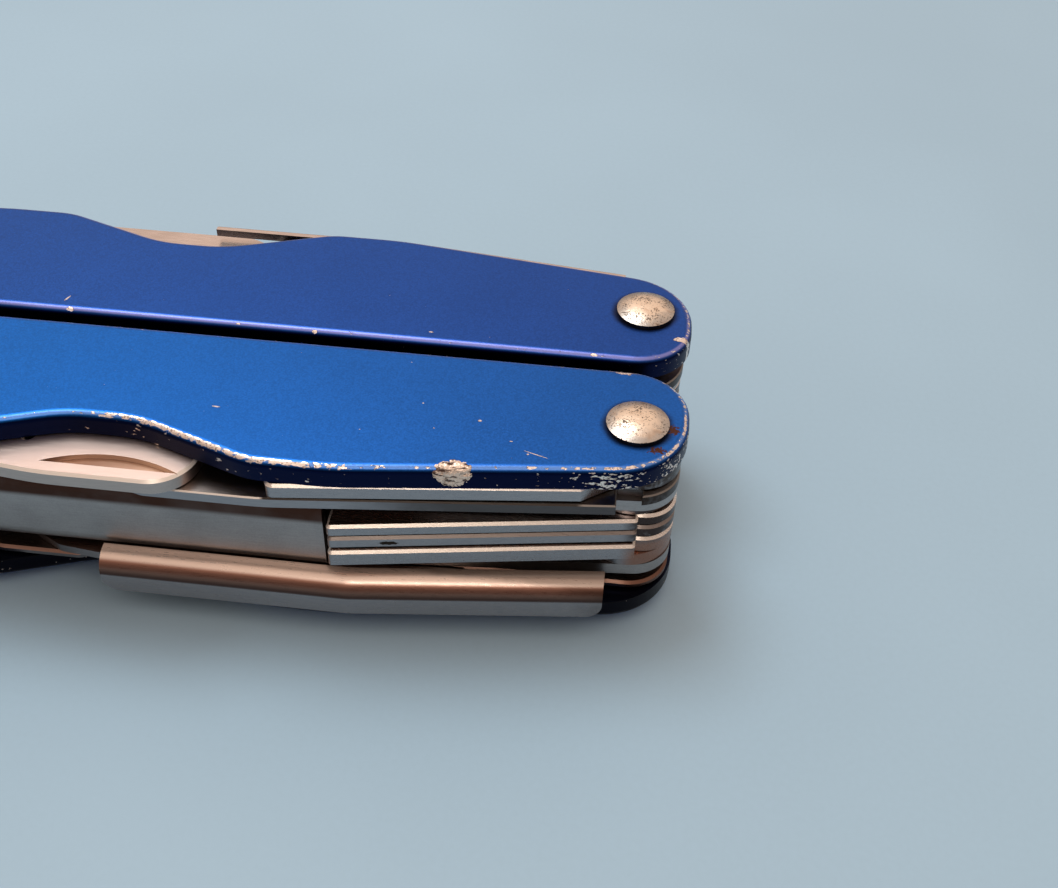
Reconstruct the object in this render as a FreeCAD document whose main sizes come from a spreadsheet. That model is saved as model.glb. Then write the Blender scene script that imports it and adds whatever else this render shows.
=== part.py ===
# Folding pocket multi-tool, closed: two handles side by side, pliers folded between them.
# Frame: +X towards the tool end, +Y towards the back handle, +Z up, origin at the
# centre of the underside, on the plane that the lower rivet domes touch. Millimetres.
import FreeCAD, Part
import math
import os
import Sketcher

from FreeCAD import Vector

SIZES = {
    # whole tool, seen from above
    "closed_length": 82.6, "rivet_inset": 3.7, "rivet_pitch": 13.5, "handle_gap": 1.2,
    "waist_half_span": 2.6, "waist_radius": 10.0, "shoulder_start": 11.2, "shoulder_end": 17.0,
    "shoulder_radius": 6.0, "shoulder_blend": 25.0, "nose_outer_radius": 5.6,
    "nose_inner_radius": 4.4,
    # the stack, from the underside upwards
    "dome_height": 0.5, "head_rim": 0.3, "scale_thickness": 1.8, "scale_edge_radius": 0.6,
    "lower_bay": 1.7, "channel_height": 7.65, "channel_wall": 1.0, "spring_thickness": 0.95,
    "upper_bay": 1.55, "layer_gap": 0.05,
    # rivets
    "head_radius": 2.25, "pin_radius": 1.5, "running_clearance": 0.05,
    # channel frame
    "web_end": 15.8, "web_tail": 30.0, "web_bend": 1.7, "frame_inset": 0.3, "flange_edge": 0.25,
    "flange_step": 2.0, "frame_nose_in": 5.5, "frame_nose_out": 3.0,
    # spring plate
    "plate_bulge_start": -1.5, "plate_shoulder_start": 3.4, "plate_shoulder_end": 12.0,
    "plate_end": 36.6, "notch_end": 38.4,
    # tangs and the edges of the tools
    "tang_radius": 3.4, "tang_corner": 3.2, "tang_neck": 4.0, "tang_waist": 6.0, "tang_step": 1.3,
    "knuckle_corner": 2.4, "tool_edge": 0.2, "heel_radius": 1.5, "corner_radius": 0.3,
    # tools in the bay under the upper scale: reach is measured from the pivot to the tip
    "upper_tool_thickness": 1.35, "opener_reach": 44.8, "opener_nose_radius": 3.2,
    "opener_neck": 21.0, "opener_hook_reach": 30.0, "opener_hook_depth": 3.0,
    "opener_hook_span": 4.4, "nick_start": 34.0, "nick_end": 43.9, "nick_apex": 2.5,
    "nick_radius": 10.6, "nick_depth": 0.45, "large_driver_reach": 25.3, "large_driver_width": 5.0,
    "large_driver_heel": 3.5, "large_driver_slant": 2.3, "large_driver_blade": 8.0,
    "saw_reach": 44.0, "saw_heel": 24.0, "saw_tooth_pitch": 1.6, "saw_tooth_depth": 0.9,
    "saw_tooth_rake": 0.7, "saw_teeth": 18, "saw_teeth_start": 12.0, "saw_edge_start": 8.0,
    "can_reach": 25.0, "can_beak_reach": 20.0, "can_beak_depth": 2.2, "can_beak_span": 6.0,
    "thumb_start": 1.8, "thumb_reach": 36.6, "thumb_lip": 1.1, "thumb_bar": 0.65,
    "thumb_roll": 0.4,
    # tools inside the channels
    "inner_gap": 0.1, "medium_driver_thickness": 1.1, "phillips_thickness": 1.1,
    "small_driver_thickness": 1.5, "inner_reach": 21.3, "inner_heel": 0.7,
    "medium_driver_width": 4.2, "small_driver_width": 2.6, "phillips_width": 3.4,
    "phillips_point": 1.0, "phillips_taper": 1.6, "small_driver_proud": 0.25, "straight_blade": 9.0,
    "pointed_blade": 10.0, "awl_width": 3.0, "awl_point": 0.8, "awl_taper": 5.0, "file_width": 5.0,
    "file_groove_pitch": 1.1, "file_groove_width": 0.35, "file_groove_depth": 0.15,
    "file_grooves": 12, "file_margin": 1.0, "loop_reach": 12.0, "loop_eye_radius": 2.2,
    "loop_rim": 1.6,
    # scissors in the bay over the lower scale of the front handle
    "scissor_thickness": 0.7, "scissor_gap": 0.08, "scissor_pivot_reach": 44.0,
    "scissor_blade_length": 22.0, "scissor_boss": 3.1, "scissor_tip": 0.6,
    "scissor_pin_radius": 1.0, "lever_start": 1.3, "lever_slope": 0.1126, "lever_reach": 38.6,
    "lever_kink": 20.0, "lever_depth": 3.6, "lever_wall": 0.75, "lever_roll_wall": 1.75,
    "lever_top": 5.4, "lever_lip": 0.35, "lever_bend": 1.6, "lever_corner": 1.2,
    "leaf_thickness": 0.5, "leaf_root": 12.0, "leaf_root_length": 2.0, "leaf_tip": 33.0,
    "leaf_lift": 1.3,
    # knife in the bay over the lower scale of the back handle
    "knife_thickness": 1.5, "knife_reach": 65.0, "knife_drop": 48.0, "knife_edge_flat": 0.9,
    "knife_heel": 9.0, "knife_choil": 1.0, "knife_shoulder": 2.0,
    # pliers
    "jaw_gap": 0.05, "jaw_side_clearance": 0.1, "joint_reach": 15.0, "joint_radius": 5.0,
    "joint_clearance": 0.15, "joint_half_span": 2.5, "joint_out": 4.2, "lap_gap": 0.06,
    "jaw_reach": 43.4, "jaw_tip_width": 1.5, "jaw_mid_reach": 26.0, "jaw_mid_width": 4.4,
    "jaw_tip_height": 2.6, "jaw_taper_start": 27.0, "jaw_tang_gap": 0.3, "tooth_pitch": 0.9,
    "tooth_depth": 0.35, "tooth_count": 12, "tooth_start": 32.2, "grip_start": 24.0,
    "grip_end": 31.0, "grip_depth": 1.2, "cutter_start": 20.6, "cutter_end": 22.8,
    "cutter_depth": 0.72, "pliers_pin_radius": 1.8,
    # washers
    "washer_radius": 3.2, "washer_thickness": 0.4, "spacer_radius": 3.4,
    # how far a cutting outline runs past the metal that it cuts
    "cut_allowance": 0.1,
}

OUTWARDS = {
    # edges across a handle, measured outwards from the line of its own rivets
    "waist_out": 4.25, "shoulder_out": 7.35, "nose_out": 4.25, "web_out": 6.15, "flange_out": 4.8,
    "flange_nose_out": 3.05, "flange_tail_out": 3.75, "plate_shoulder_out": 7.55,
    "plate_end_out": 4.95, "notch_out": 2.85, "notch_tail_out": 3.75, "notch_nose_out": 3.05,
    "opener_out": 8.45, "opener_tip_in": 2.65, "opener_heel_in": -1.15, "opener_neck_out": 6.85,
    "opener_hook_in": 2.05, "nick_out": 7.35, "large_driver_out": 7.7, "large_driver_heel_out": 5.1,
    "saw_out": 8.45, "saw_edge_in": 0.85, "can_tip_in": 2.85, "can_corner_in": 3.85,
    "inner_out": 7.3, "inner_heel_out": 3.7, "scissor_pivot_out": 2.85, "scissor_base_out": 3.45,
    "lever_out": 8.15, "knife_spine_out": 6.55, "knife_belly_in": -2.15,
    "knife_point_out": 2.85,
}

DERIVED = {
    "half_length": "Sizes.closed_length / 2",
    "rivet_x": "Layout.half_length - Sizes.rivet_inset",
    "rivet_out": "Sizes.rivet_pitch / 2",
    "gap_side": "Sizes.handle_gap / 2",
    "head_height": "Sizes.dome_height + Sizes.head_rim",
    "lower_scale": "Layout.head_height",
    "lower_bay_floor": "Layout.lower_scale + Sizes.scale_thickness",
    "channel": "Layout.lower_bay_floor + Sizes.lower_bay",
    "channel_floor": "Layout.channel + Sizes.channel_wall",
    "channel_roof": "Layout.channel + Sizes.channel_height - Sizes.channel_wall",
    "spring_plate": "Layout.channel + Sizes.channel_height",
    "upper_bay_floor": "Layout.spring_plate + Sizes.spring_thickness",
    "upper_tool": "Layout.upper_bay_floor + (Sizes.upper_bay - Sizes.upper_tool_thickness) / 2",
    "upper_scale": "Layout.upper_bay_floor + Sizes.upper_bay",
    "top": "Layout.upper_scale + Sizes.scale_thickness",
    "hole_radius": "Sizes.pin_radius + Sizes.running_clearance",
    "frame_end": "Layout.half_length - Sizes.frame_inset",
    "frame_in": "Layout.gap_side + Sizes.frame_inset",
    "tang_in": "Layout.rivet_out - Sizes.tang_radius",
    "tang_out": "Layout.rivet_out + Sizes.tang_radius",
    "washer": "Layout.channel_roof - Sizes.layer_gap - Sizes.washer_thickness",
    "inner_high": "Layout.washer - Sizes.inner_gap - Sizes.medium_driver_thickness",
    "inner_mid": "Layout.inner_high - Sizes.inner_gap - Sizes.phillips_thickness",
    "inner_low": "Layout.inner_mid - Sizes.inner_gap - Sizes.small_driver_thickness",
    "inner_spacer": "Layout.channel_floor + Sizes.layer_gap",
    "inner_spacer_height": "Layout.inner_low - Sizes.layer_gap - Layout.inner_spacer",
    "lower_tool": "Layout.lower_bay_floor + Sizes.inner_gap",
    "scissor_upper": "Layout.lower_tool + Sizes.scissor_thickness + Sizes.scissor_gap",
    "scissor_pivot_x": "Layout.rivet_x - Sizes.scissor_pivot_reach",
    "lever_bottom": "Layout.lower_bay_floor - Sizes.lever_lip",
    "thumb_top": "Layout.upper_scale + Sizes.thumb_lip",
    "jaw_bottom": "Layout.channel_floor + Sizes.jaw_side_clearance",
    "jaw_height": "Layout.channel_roof - Layout.channel_floor - 2 * Sizes.jaw_side_clearance",
    "lap_height": "(Layout.jaw_height - Sizes.lap_gap) / 2",
    "joint_x": "Sizes.joint_reach - Layout.rivet_x",
    "spacer_height": "Sizes.lower_bay - 2 * Sizes.layer_gap",
}

FRONT, BACK = -1, 1
TOOL_END, PLIER_END = 1, -1
SAME = 1e-4  # lengths closer than this are equal
LONG_EDGE = 1.0  # shorter edges belong to corners

doc = FreeCAD.newDocument("FoldingMultiTool")
sheet = doc.addObject("Spreadsheet::Sheet", "Sizes")
for row, (alias, size) in enumerate({**SIZES, **OUTWARDS}.items(), start=1):
    sheet.set(f"A{row}", alias)
    sheet.set(f"B{row}", str(size))
    sheet.setAlias(f"B{row}", alias)
doc.recompute()
layout = doc.addObject("App::VarSet", "Layout")
from_centre = {name: f"Layout.rivet_out + Sizes.{name}" for name in OUTWARDS}
for name, formula in {**DERIVED, **from_centre}.items():
    layout.addProperty("App::PropertyFloat", name, "Layout")
    layout.setExpression(name, formula)
    doc.recompute()

pieces = []


def value(formula):
    """The present value of a formula in the document's own sizes."""
    return float(layout.evalExpression(formula))


def keep(piece):
    pieces.append(piece)
    return piece


def plane(body, role):
    return next(item for item in body.Origin.OriginFeatures if item.Role == role)


def new_sketch(body, role="XY_Plane", height="0"):
    sketch = body.newObject("Sketcher::SketchObject", "Sketch")
    sketch.AttachmentSupport = [(plane(body, role), "")]
    sketch.MapMode = "FlatFace"
    sketch.setExpression("AttachmentOffset.Base.z", height)
    return sketch


def bind(sketch, constraint, formula):
    index = sketch.addConstraint(constraint)
    sketch.setExpression(f"Constraints[{index}]", formula)


def pin_point(sketch, geometry, position, x, y):
    """Tie one point of the sketch to two formulas."""
    bind(sketch, Sketcher.Constraint("DistanceX", -1, 1, geometry, position, value(x)), x)
    bind(sketch, Sketcher.Constraint("DistanceY", -1, 1, geometry, position, value(y)), y)


def draw_circle(sketch, x, y, radius):
    centre = Vector(value(x), value(y), 0)
    circle = sketch.addGeometry(Part.Circle(centre, Vector(0, 0, 1), value(radius)))
    pin_point(sketch, circle, 3, x, y)
    bind(sketch, Sketcher.Constraint("Radius", circle, value(radius)), radius)


def draw_outline(sketch, corners):
    """A closed outline of straight edges, each corner (x, y, radius) rounded by a tangent arc."""
    count = len(corners)
    points = [Vector(value(x), value(y), 0) for x, y, _ in corners]
    bends = []
    for index, (_, _, radius) in enumerate(corners):
        point = points[index]
        before = (points[index - 1] - point).normalize()
        after = (points[(index + 1) % count] - point).normalize()
        if radius is None:
            bends.append((point, point, None, 0))
            continue
        size = value(radius)
        half = before.getAngle(after) / 2
        centre = point + (before + after).normalize() * (size / math.sin(half))
        cut = size / math.tan(half)
        bends.append((point + before * cut, point + after * cut, centre, size))
    edges = [sketch.addGeometry(Part.LineSegment(bends[i][1], bends[(i + 1) % count][0]))
             for i in range(count)]
    for index, (x, y, radius) in enumerate(corners):
        incoming, outgoing = edges[index - 1], edges[index]
        start, end, centre, size = bends[index]
        if radius is None:
            sketch.addConstraint(Sketcher.Constraint("Coincident", incoming, 2, outgoing, 1))
            pin_point(sketch, outgoing, 1, x, y)
            continue
        first = math.atan2(start.y - centre.y, start.x - centre.x)
        last = math.atan2(end.y - centre.y, end.x - centre.x)
        left_turn = (start - centre).cross(end - centre).z > 0
        span = (first, last) if left_turn else (last, first)
        arc = sketch.addGeometry(Part.ArcOfCircle(Part.Circle(centre, Vector(0, 0, 1), size), *span))
        head, tail = (1, 2) if left_turn else (2, 1)
        sketch.addConstraint(Sketcher.Constraint("Tangent", incoming, 2, arc, head))
        sketch.addConstraint(Sketcher.Constraint("Tangent", arc, tail, outgoing, 1))
        bind(sketch, Sketcher.Constraint("Radius", arc, size), radius)
        corner = sketch.addGeometry(Part.Point(points[index]), True)
        sketch.addConstraint(Sketcher.Constraint("PointOnObject", corner, 1, incoming))
        sketch.addConstraint(Sketcher.Constraint("PointOnObject", corner, 1, outgoing))
        pin_point(sketch, corner, 1, x, y)


def pad(body, sketch, thickness):
    feature = body.newObject("PartDesign::Pad", "Pad")
    feature.Profile = sketch
    feature.setExpression("Length", thickness)
    doc.recompute()
    return feature


def pocket(body, sketch, depth):
    """Cut from the sketch's height downwards, and insist that something was cut."""
    before = body.Shape.Volume
    feature = body.newObject("PartDesign::Pocket", "Pocket")
    feature.Profile = sketch
    feature.setExpression("Length", depth)
    doc.recompute()
    if body.Shape.Volume > before - SAME:
        raise RuntimeError(f"{body.Label}: a pocket cuts nothing")
    return feature


def dress(body, kind, size, chosen):
    """A fillet or chamfer on the edges of the body that a test picks out."""
    names = [f"Edge{i}" for i, edge in enumerate(body.Tip.Shape.Edges, start=1) if chosen(edge)]
    if not names:
        raise RuntimeError(f"{body.Label}: no edge to dress")
    base = body.Tip
    feature = body.newObject(f"PartDesign::{kind}", kind)
    feature.Base = (base, names)
    feature.setExpression("Radius" if kind == "Fillet" else "Size", size)
    doc.recompute()
    if "Invalid" in feature.State:
        raise RuntimeError(f"{body.Label}: the {kind} of {size} fails")
    return feature


def start_body(name, bottom):
    body = doc.addObject("PartDesign::Body", "Body")
    body.Label = name
    body.setExpression("Placement.Base.z", bottom)
    return keep(body)


def level(height):
    """Edges that lie flat at a height of the body, except those of the rivet holes."""
    wanted = value(height)

    def test(edge):
        box = edge.BoundBox
        flat = abs(box.ZMin - wanted) < SAME and abs(box.ZMax - wanted) < SAME
        round_hole = isinstance(edge.Curve, Part.Circle) and len(edge.Vertexes) == 1
        return flat and not round_hole
    return test


def plate(name, bottom, thickness, corners, holes=(), edge=None):
    """A flat piece: its outline, its round holes, and a small bevel round both faces."""
    body = start_body(name, bottom)
    sketch = new_sketch(body)
    draw_outline(sketch, corners)
    for hole in holes:
        draw_circle(sketch, *hole)
    pad(body, sketch, thickness)
    if edge:
        low, high = level("0"), level(thickness)
        dress(body, "Chamfer", edge, lambda item: low(item) or high(item))
    return body


def cut_outline(body, corners, top, depth):
    sketch = new_sketch(body, height=top)
    draw_outline(sketch, corners)
    pocket(body, sketch, depth)
    return body.Tip


def rivet_place(end, side):
    return f"{end} * Layout.rivet_x", f"{side} * Layout.rivet_out"


def rivet_hole(end, side):
    return (*rivet_place(end, side), "Layout.hole_radius")


def from_pivot(end, side, corners):
    """Corners given as (reach from the pivot, distance from the centre plane, radius)."""
    return [(f"{end} * (Layout.rivet_x - ({reach}))", f"{side} * ({out})", radius)
            for reach, out, radius in corners]


def across(side, corners):
    """Corners given as (x, distance from the centre plane, radius)."""
    return [(x, f"{side} * ({out})", radius) for x, out, radius in corners]


def tang_corners():
    """The round end of a tool, which turns between its neighbours on the rivet."""
    return [("-Sizes.tang_radius", "Layout.tang_out", "Sizes.tang_corner"),
            ("-Sizes.tang_radius", "Layout.tang_in", "Sizes.tang_corner")]


# ---- handles ----

def scale(name, side, bottom, outer_face):
    """An anodised side plate, waisted in the middle, its outer edge rounded over."""
    half = [("Sizes.waist_half_span", "Layout.waist_out", "Sizes.waist_radius"),
            ("Sizes.shoulder_start", "Layout.shoulder_out", "Sizes.shoulder_radius"),
            ("Sizes.shoulder_end", "Layout.shoulder_out", "Sizes.shoulder_blend"),
            ("Layout.half_length", "Layout.nose_out", "Sizes.nose_outer_radius"),
            ("Layout.half_length", "Layout.gap_side", "Sizes.nose_inner_radius")]
    other = [(f"-{x}", out, radius) for x, out, radius in reversed(half)]
    holes = [rivet_hole(end, side) for end in (TOOL_END, PLIER_END)]
    body = plate(name, bottom, "Sizes.scale_thickness", across(side, half + other), holes)
    dress(body, "Fillet", "Sizes.scale_edge_radius", level(outer_face))


def channel(name, side):
    """The folded steel frame: two flanges joined by the web along the outer side."""
    corners = [("Sizes.web_end", "Layout.web_out", None),
               ("Sizes.web_end", "Layout.flange_out", "Sizes.flange_edge"),
               ("Sizes.web_end + Sizes.flange_step", "Layout.flange_out", None),
               ("Layout.frame_end", "Layout.flange_nose_out", "Sizes.frame_nose_out"),
               ("Layout.frame_end", "Layout.frame_in", "Sizes.frame_nose_in"),
               ("-Layout.frame_end", "Layout.frame_in", "Sizes.nose_inner_radius"),
               ("-Layout.frame_end", "Layout.flange_tail_out", "Sizes.nose_inner_radius"),
               ("-Sizes.web_tail", "Layout.web_out", None)]
    holes = [rivet_hole(end, side) for end in (TOOL_END, PLIER_END)]
    body = plate(name, "Layout.channel", "Sizes.channel_height", across(side, corners), holes)

    def outer_bend(edge):
        box = edge.BoundBox
        long_edge = box.XLength > value("Sizes.web_tail")
        face = value(f"{side} * Layout.web_out")
        return long_edge and abs(box.YMin - face) < SAME and abs(box.YMax - face) < SAME
    dress(body, "Fillet", "Sizes.web_bend", outer_bend)
    inside = [("-Layout.half_length", "0", None), ("Layout.half_length", "0", None),
              ("Layout.half_length", "Layout.web_out - Sizes.channel_wall", None),
              ("-Layout.half_length", "Layout.web_out - Sizes.channel_wall", None)]
    tail = [("-Layout.half_length", "0", None), ("-Sizes.web_tail", "0", None),
            ("-Sizes.web_tail", "Layout.web_out + Sizes.cut_allowance", None),
            ("-Layout.half_length", "Layout.web_out + Sizes.cut_allowance", None)]
    for hollow in (inside, tail):
        cut_outline(body, across(side, hollow), "Sizes.channel_height - Sizes.channel_wall",
                    "Sizes.channel_height - 2 * Sizes.channel_wall")


def spring_plate(name, side):
    """The sprung liner over the channel, notched beside the tool-end knuckles."""
    corners = [("Sizes.plate_shoulder_start", "Layout.plate_shoulder_out", "Sizes.heel_radius"),
               ("Sizes.plate_shoulder_end", "Layout.plate_shoulder_out", "Sizes.shoulder_blend"),
               ("Sizes.plate_end", "Layout.plate_end_out", None),
               ("Sizes.plate_end", "Layout.notch_out", None),
               ("Sizes.notch_end", "Layout.notch_out", None),
               ("Sizes.notch_end", "Layout.notch_tail_out", None),
               ("Layout.frame_end", "Layout.notch_nose_out", "Sizes.tang_corner"),
               ("Layout.frame_end", "Layout.frame_in", "Sizes.nose_inner_radius"),
               ("-Layout.frame_end", "Layout.frame_in", "Sizes.nose_inner_radius"),
               ("-Layout.frame_end", "Layout.notch_tail_out", "Sizes.nose_inner_radius"),
               ("-Sizes.shoulder_end", "Layout.web_out", "Sizes.shoulder_blend"),
               ("Sizes.plate_bulge_start", "Layout.web_out", "Sizes.corner_radius")]
    holes = [rivet_hole(end, side) for end in (TOOL_END, PLIER_END)]
    plate(name, "Layout.spring_plate", "Sizes.spring_thickness", across(side, corners), holes,
          "Sizes.tool_edge / 2")


def primitive(kind, **formulas):
    item = doc.addObject(f"Part::{kind}", kind)
    for prop, formula in formulas.items():
        item.setExpression(prop.replace("_", "."), formula)
    return item


def domed_pin(name, x, y, bottom, height, pin, head, dome, rim):
    """A pin with a low domed head at both ends: bottom and height are those of the grip."""
    sphere = f"(({head})^2 + ({dome})^2) / (2 * ({dome}))"
    shank = primitive("Cylinder", Radius=pin, Height=height)
    upper_disc = primitive("Cylinder", Radius=head, Height=f"{rim} + {dome}", Placement_Base_z=height)
    upper_ball = primitive("Sphere", Radius=sphere,
                           Placement_Base_z=f"{height} + {rim} + {dome} - {sphere}")
    lower_disc = primitive("Cylinder", Radius=head, Height=f"{rim} + {dome}",
                           Placement_Base_z=f"-({rim} + {dome})")
    lower_ball = primitive("Sphere", Radius=sphere,
                           Placement_Base_z=f"{sphere} - {rim} - {dome}")
    heads = []
    for disc, ball in ((upper_disc, upper_ball), (lower_disc, lower_ball)):
        common = doc.addObject("Part::Common", "Head")
        common.Base = disc
        common.Tool = ball
        heads.append(common)
    whole = doc.addObject("Part::MultiFuse", "Rivet")
    whole.Shapes = [shank, *heads]
    whole.Label = name
    whole.setExpression("Placement.Base.x", x)
    whole.setExpression("Placement.Base.y", y)
    whole.setExpression("Placement.Base.z", bottom)
    return keep(whole)


def handle_rivet(name, end, side):
    domed_pin(name, *rivet_place(end, side), "Layout.lower_scale",
              "Layout.top - Layout.lower_scale", "Sizes.pin_radius", "Sizes.head_radius",
              "Sizes.dome_height", "Sizes.head_rim")


def washer(name, end, side, bottom, thickness, radius):
    body = start_body(name, bottom)
    sketch = new_sketch(body)
    draw_circle(sketch, *rivet_place(end, side), radius)
    draw_circle(sketch, *rivet_hole(end, side))
    pad(body, sketch, thickness)


def handle(word, side):
    scale(f"{word}_top_scale", side, "Layout.upper_scale", "Sizes.scale_thickness")
    scale(f"{word}_bottom_scale", side, "Layout.lower_scale", "0")
    channel(f"{word}_channel", side)
    spring_plate(f"{word}_spring_plate", side)
    handle_rivet(f"{word}_tool_rivet", TOOL_END, side)
    handle_rivet(f"{word}_plier_rivet", PLIER_END, side)
    washer(f"{word}_tool_washer", TOOL_END, side, "Layout.washer", "Sizes.washer_thickness",
           "Sizes.washer_radius")
    washer(f"{word}_tool_spacer", TOOL_END, side, "Layout.inner_spacer",
           "Layout.inner_spacer_height", "Sizes.spacer_radius")
    washer(f"{word}_plier_spacer", PLIER_END, side, "Layout.lower_bay_floor + Sizes.layer_gap",
           "Layout.spacer_height", "Sizes.spacer_radius")


# ---- tools on the front handle ----

def bottle_opener():
    """Round-nosed opener under the upper scale, with a crescent nail nick and a hook."""
    end, side = PLIER_END, FRONT
    corners = [("Sizes.opener_reach", "Layout.opener_out", "Sizes.opener_nose_radius"),
               ("Sizes.opener_reach", "Layout.opener_tip_in", "Sizes.heel_radius"),
               ("Sizes.opener_hook_reach + Sizes.opener_hook_span", "Layout.opener_hook_in", None),
               ("Sizes.opener_hook_reach + Sizes.opener_hook_span / 2",
                "Layout.opener_tip_in + Sizes.opener_hook_depth", "Sizes.corner_radius"),
               ("Sizes.opener_hook_reach", "Layout.opener_heel_in", None),
               ("Sizes.tang_neck", "Layout.tang_in", "Sizes.heel_radius"), *reversed(tang_corners()),
               ("Sizes.tang_neck", "Layout.tang_out", "Sizes.heel_radius"),
               ("Sizes.opener_neck", "Layout.opener_neck_out", "Sizes.shoulder_blend"),
               ("Sizes.nick_start", "Layout.opener_out", "Sizes.shoulder_blend")]
    body = plate("bottle_opener", "Layout.upper_tool", "Sizes.upper_tool_thickness",
                 from_pivot(end, side, corners), [rivet_hole(end, side)], "Sizes.tool_edge")
    nick = [("Sizes.nick_start", "Layout.nick_out", None), ("Sizes.nick_end", "Layout.nick_out", None),
            ("(Sizes.nick_start + Sizes.nick_end) / 2", "Layout.nick_out - Sizes.nick_apex",
             "Sizes.nick_radius")]
    cut_outline(body, from_pivot(end, side, nick), "Sizes.upper_tool_thickness", "Sizes.nick_depth")


def large_screwdriver():
    end, side = TOOL_END, FRONT
    inner = "Layout.large_driver_out - Sizes.large_driver_width"
    corners = [("Sizes.large_driver_reach", "Layout.large_driver_out", "2 * Sizes.corner_radius"),
               ("Sizes.large_driver_heel", "Layout.large_driver_heel_out", None),
               ("Sizes.large_driver_heel - Sizes.large_driver_slant", "Layout.tang_out", None),
               *tang_corners(),
               ("Sizes.tang_waist", "Layout.tang_in", "Sizes.heel_radius"),
               ("Sizes.large_driver_reach - Sizes.large_driver_blade", inner, "Sizes.heel_radius"),
               ("Sizes.large_driver_reach", inner, "Sizes.corner_radius")]
    plate("large_screwdriver", "Layout.upper_tool", "Sizes.upper_tool_thickness",
          from_pivot(end, side, corners), [rivet_hole(end, side)], "Sizes.tool_edge")


def inner_tool(name, side, bottom, thickness, tip, proud="0"):
    """One of the short tools that fold into the open stretch beside the web."""
    edge_out = f"Layout.inner_out + ({proud})"
    corners = [("Sizes.inner_reach", edge_out, "Sizes.corner_radius"),
               ("-Sizes.inner_heel", f"Layout.inner_heel_out + ({proud})", "Sizes.flange_edge"),
               ("-Sizes.inner_heel", "Layout.tang_out - Sizes.corner_radius", None),
               ("-Sizes.tang_radius", "Layout.tang_out - Sizes.corner_radius", "Sizes.knuckle_corner"),
               ("-Sizes.tang_radius", "Layout.tang_in", "Sizes.tang_corner"),
               ("Sizes.tang_waist", "Layout.tang_in", "Sizes.heel_radius"), *tip]
    return plate(name, bottom, thickness, from_pivot(TOOL_END, side, corners),
                 [rivet_hole(TOOL_END, side)], "Sizes.tool_edge")


def straight_tip(width, proud="0"):
    inner = f"Layout.inner_out + ({proud}) - {width}"
    return [("Sizes.inner_reach - Sizes.straight_blade", inner, "Sizes.heel_radius"),
            ("Sizes.inner_reach", inner, "Sizes.flange_edge")]


def pointed_tip(width, point, taper):
    inner = f"Layout.inner_out - {width}"
    return [("Sizes.inner_reach - Sizes.pointed_blade", inner, "Sizes.heel_radius"),
            (f"Sizes.inner_reach - {taper}", inner, None),
            ("Sizes.inner_reach", f"Layout.inner_out - {point}", None)]


def front_inner_tools():
    inner_tool("medium_screwdriver", FRONT, "Layout.inner_high", "Sizes.medium_driver_thickness",
               straight_tip("Sizes.medium_driver_width"))
    inner_tool("phillips_driver", FRONT, "Layout.inner_mid", "Sizes.phillips_thickness",
               pointed_tip("Sizes.phillips_width", "Sizes.phillips_point", "Sizes.phillips_taper"))
    inner_tool("small_screwdriver", FRONT, "Layout.inner_low", "Sizes.small_driver_thickness",
               straight_tip("Sizes.small_driver_width", "Sizes.small_driver_proud"),
               "Sizes.small_driver_proud")


def scissor_hole():
    return ("Layout.scissor_pivot_x", "-Layout.scissor_pivot_out",
            "Sizes.scissor_pin_radius + Sizes.running_clearance")


def scissor_base():
    """The fixed half of the scissors: tang, body and blade, on the tool-end rivet."""
    boss = "Sizes.scissor_pivot_reach"
    tip = "Sizes.scissor_pivot_reach + Sizes.scissor_blade_length"
    corners = [(tip, "Layout.scissor_pivot_out + Sizes.scissor_tip", None),
               (f"{boss} + Sizes.scissor_boss", "Layout.scissor_pivot_out + Sizes.scissor_boss",
                "Sizes.heel_radius"),
               (f"{boss} - Sizes.scissor_boss", "Layout.scissor_pivot_out + Sizes.scissor_boss",
                "Sizes.heel_radius"),
               (f"{boss} - 2 * Sizes.scissor_boss", "Layout.scissor_base_out", "Sizes.heel_radius"),
               ("-Sizes.tang_radius", "Layout.tang_out", "Sizes.tang_corner"),
               ("-Sizes.tang_radius", "Layout.tang_in", "Sizes.tang_corner"),
               ("Sizes.tang_waist", "Layout.tang_in", "Sizes.heel_radius"),
               (f"{boss} - Sizes.scissor_boss", "Layout.scissor_pivot_out - Sizes.scissor_boss",
                "Sizes.heel_radius"),
               (f"{boss} + Sizes.scissor_boss", "Layout.scissor_pivot_out - Sizes.scissor_tip",
                "Sizes.heel_radius")]
    plate("scissor_base", "Layout.lower_tool", "Sizes.scissor_thickness",
          from_pivot(TOOL_END, FRONT, corners), [rivet_hole(TOOL_END, FRONT), scissor_hole()],
          "Sizes.tool_edge")


def thumb_heel(start):
    """How far out a thumb wall begins: from the kink to its heel it closes in on the rivet."""
    return f"Layout.lever_out - Sizes.lever_slope * (Sizes.lever_kink - {start})"


def thumb_wall(body, side, wall, start, reach, bottom, top):
    """An upright wall on a tool, along the outer edge of its handle from one reach to another."""
    heel = thumb_heel(start)
    corners = [(start, f"{heel} - {wall}", None), (start, heel, None),
               ("Sizes.lever_kink", "Layout.lever_out", "Sizes.shoulder_radius"),
               (reach, "Layout.lever_out", None),
               (reach, f"Layout.lever_out - {wall}", None),
               ("Sizes.lever_kink", f"Layout.lever_out - {wall}", f"Sizes.shoulder_radius - {wall}")]
    sketch = new_sketch(body, height=bottom)
    draw_outline(sketch, from_pivot(TOOL_END, side, corners))
    pad(body, sketch, f"{top} - ({bottom})")


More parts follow.
